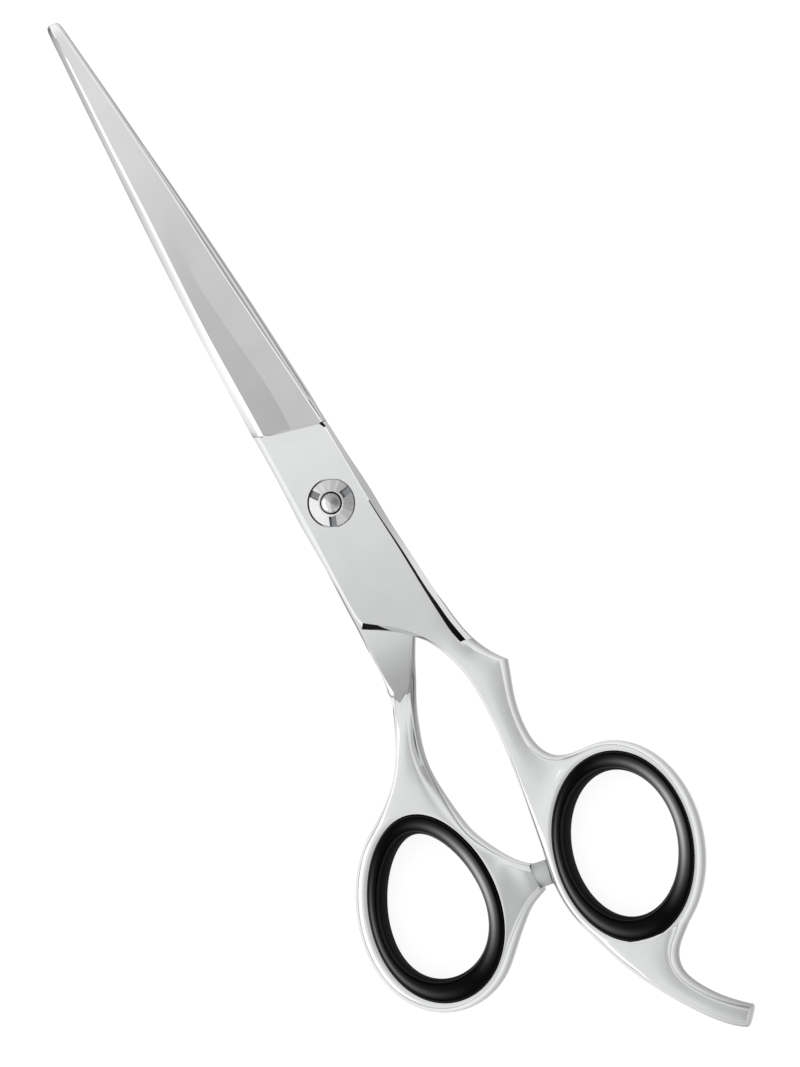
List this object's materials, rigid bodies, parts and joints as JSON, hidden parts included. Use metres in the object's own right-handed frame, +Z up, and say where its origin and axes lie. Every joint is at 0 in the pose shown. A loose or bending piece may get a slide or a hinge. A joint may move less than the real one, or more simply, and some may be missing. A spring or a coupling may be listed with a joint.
{
  "type": "hair cutting shears",
  "caption": "Offset hair cutting shears with slim tapered blades, a slotted tension dial at the pivot, soft ring inserts, a bump stop and a curved finger tang.",
  "frame": {"origin": "on the resting plane, in the middle of the bolt's flat rear head, on the pivot axis", "axes": "+Y from the pivot to the blade tips, +X towards the finger ring's side, +Z up from the surface it lies on to the tension dial"},
  "size_m": [0.0542, 0.1802, 0.0068],
  "materials": {
    "blade_steel": "mirror polished stainless steel",
    "handle_steel": "polished stainless steel",
    "bolt_steel": "polished stainless steel",
    "spring_steel": "satin spring steel",
    "dial_chrome": "bright chrome plating",
    "insert_rubber": "glossy moulded silicone",
    "stop_rubber": "soft matte silicone",
    "bearing_nylon": "natural nylon"
  },
  "bodies": {
    "finger_half": {"finger_blade": "blade_steel", "finger_handle": "handle_steel", "finger_ring_insert": "insert_rubber", "thrust_washer": "bearing_nylon", "spring_washer": "spring_steel", "pivot_bush": "bearing_nylon"},
    "thumb_half": {"thumb_blade": "blade_steel", "thumb_handle": "handle_steel", "thumb_ring_insert": "insert_rubber", "bump_stop": "stop_rubber", "pivot_bolt": "bolt_steel"},
    "dial": {"tension_dial": "dial_chrome"}
  },
  "joints": [
    {"name": "blade_pivot", "type": "hinge", "parent": "finger_half", "child": "thumb_half", "pos_m": [0, 0, 0.0034], "axis": [0, 0, -1], "range_deg": [0, 110]},
    {"name": "dial_turn", "type": "hinge", "parent": "thumb_half", "child": "dial", "pos_m": [0, 0, 0.0056], "axis": [0, 0, 1], "range_deg": [-180, 180]}
  ]
}
